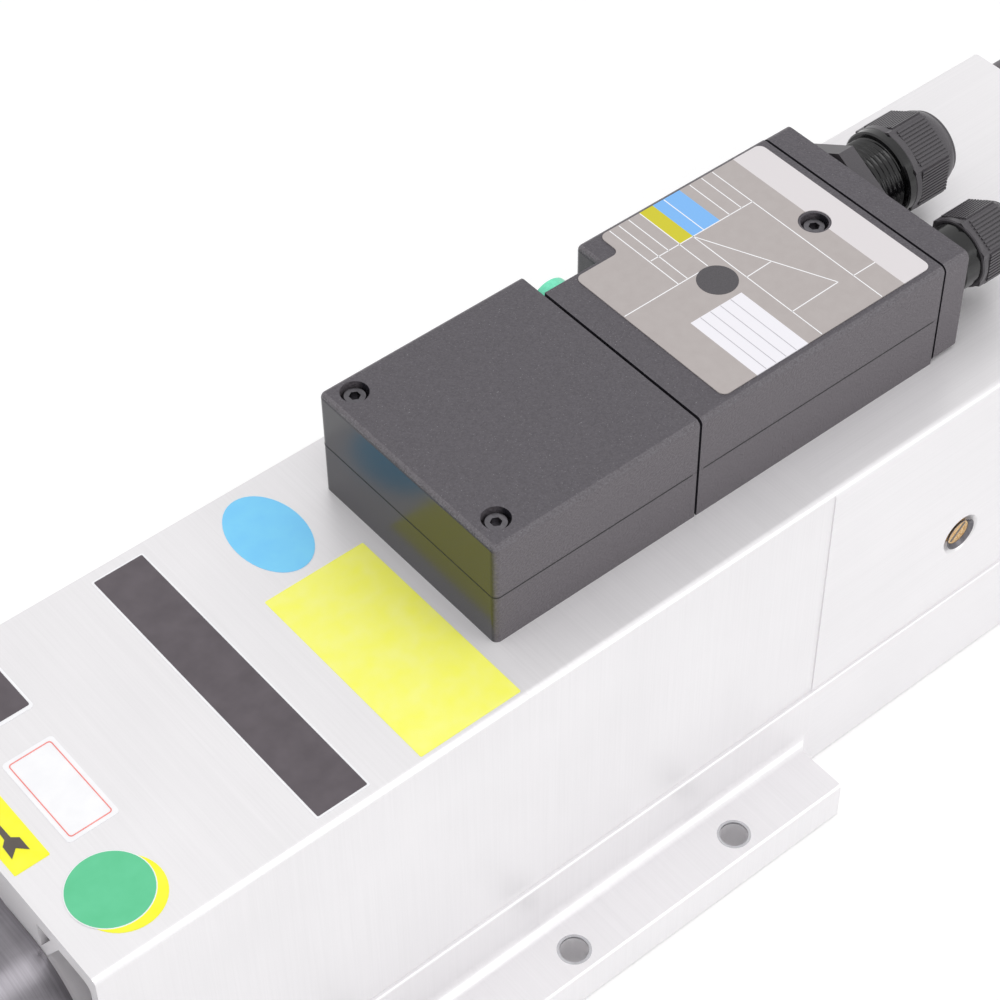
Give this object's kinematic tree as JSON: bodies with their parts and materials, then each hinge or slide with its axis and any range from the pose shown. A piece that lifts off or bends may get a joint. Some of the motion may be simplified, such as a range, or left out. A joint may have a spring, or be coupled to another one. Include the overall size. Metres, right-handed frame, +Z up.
{
  "type": "motor spindle",
  "caption": "Square-bodied electric motor spindle with foot flange, tool-clamping drawbar, release button, terminal box, cable glands and rear fan.",
  "frame": {"origin": "centre of the mounting-hole pattern on the base face", "axes": "+X along the spindle axis towards the rear cover, nose towards -X, +Z up from the base, +Y towards the side with the button notch"},
  "size_m": [0.5452, 0.16, 0.1657],
  "materials": {
    "body": "satin anodised, milled at the front",
    "dark_steel": "blackened, ground",
    "bearing_steel": "ground",
    "shaft_steel": "ground",
    "spring_steel": "phosphated",
    "laminations": "stacked sheet",
    "copper": "varnished copper wire",
    "bronze": "sintered bronze",
    "inner_aluminium": "turned",
    "black_cover": "satin black",
    "black_plastic": "moulded",
    "terminal_plastic": "moulded",
    "box": "dark grey powder coat",
    "gland": "moulded, ribbed",
    "seal_rubber": "matt",
    "green_button": "glossy"
  },
  "bodies": {
    "housing": {"spindle_body": "body", "vent_plug": "bronze", "bearing_housings": "dark_steel", "nose_cover": "dark_steel", "bearing_outer_rings": "bearing_steel", "stator_core": "laminations", "winding_heads": "copper", "cylinder_cover": "inner_aluminium", "rear_cover": "black_cover", "fan_motor": "black_plastic", "front_box_base": "box", "front_box_lid": "box", "rear_box_base": "box", "rear_box_lid": "box", "release_switch": "black_plastic", "terminal_block": "terminal_plastic", "gland_plate": "box", "gland_plate_gasket": "seal_rubber", "gland_bodies": "gland", "gland_nuts": "gland"},
    "shaft": {"spindle_shaft": "shaft_steel", "drive_keys": "dark_steel", "bearing_inner_rings": "bearing_steel", "shaft_locknuts": "bearing_steel", "rotor": "laminations", "disc_springs": "spring_steel"},
    "drawbar": {"drawbar": "shaft_steel"},
    "finger_1": {"gripper_finger_1": "spring_steel"},
    "finger_2": {"gripper_finger_2": "spring_steel"},
    "finger_3": {"gripper_finger_3": "spring_steel"},
    "finger_4": {"gripper_finger_4": "spring_steel"},
    "piston": {"release_piston": "inner_aluminium"},
    "fan": {"fan_impeller": "black_plastic"},
    "button": {"release_button": "green_button"}
  },
  "joints": [
    {"name": "shaft_spin", "type": "hinge", "parent": "housing", "child": "shaft", "pos_m": [0, 0, 0.0635], "axis": [1, 0, 0], "continuous": true},
    {"name": "piston_slide", "type": "slide", "parent": "housing", "child": "piston", "axis": [-1, 0, 0], "range_m": [0, 0.008], "stiffness_N_per_m": 3000},
    {"name": "drawbar_slide", "type": "slide", "parent": "shaft", "child": "drawbar", "axis": [-1, 0, 0], "range_m": [0, 0.008], "deforming": ["disc_springs"]},
    {"name": "finger_1_open", "type": "hinge", "parent": "drawbar", "child": "finger_1", "pos_m": [-0.0653, 0, 0.0713], "axis": [0, 1, 0], "range_deg": [0, 5.1]},
    {"name": "finger_2_open", "type": "hinge", "parent": "drawbar", "child": "finger_2", "pos_m": [-0.0653, -0.0078, 0.0635], "axis": [0, 0, 1], "range_deg": [0, 5.1]},
    {"name": "finger_3_open", "type": "hinge", "parent": "drawbar", "child": "finger_3", "pos_m": [-0.0653, 0, 0.0557], "axis": [0, -1, 0], "range_deg": [0, 5.1]},
    {"name": "finger_4_open", "type": "hinge", "parent": "drawbar", "child": "finger_4", "pos_m": [-0.0653, 0.0078, 0.0635], "axis": [0, 0, -1], "range_deg": [0, 5.1]},
    {"name": "fan_spin", "type": "hinge", "parent": "housing", "child": "fan", "pos_m": [0.3415, 0, 0.0635], "axis": [1, 0, 0], "continuous": true},
    {"name": "release_button_press", "type": "slide", "parent": "housing", "child": "button", "axis": [0, -1, 0], "range_m": [0, 0.003], "stiffness_N_per_m": 600}
  ],
  "couplings": [
    {"joint": "drawbar_slide", "follows": "piston_slide", "ratio": 1},
    {"joint": "finger_1_open", "follows": "piston_slide", "rad_per_m": 10.9},
    {"joint": "finger_2_open", "follows": "piston_slide", "rad_per_m": 10.9},
    {"joint": "finger_3_open", "follows": "piston_slide", "rad_per_m": 10.9},
    {"joint": "finger_4_open", "follows": "piston_slide", "rad_per_m": 10.9}
  ]
}
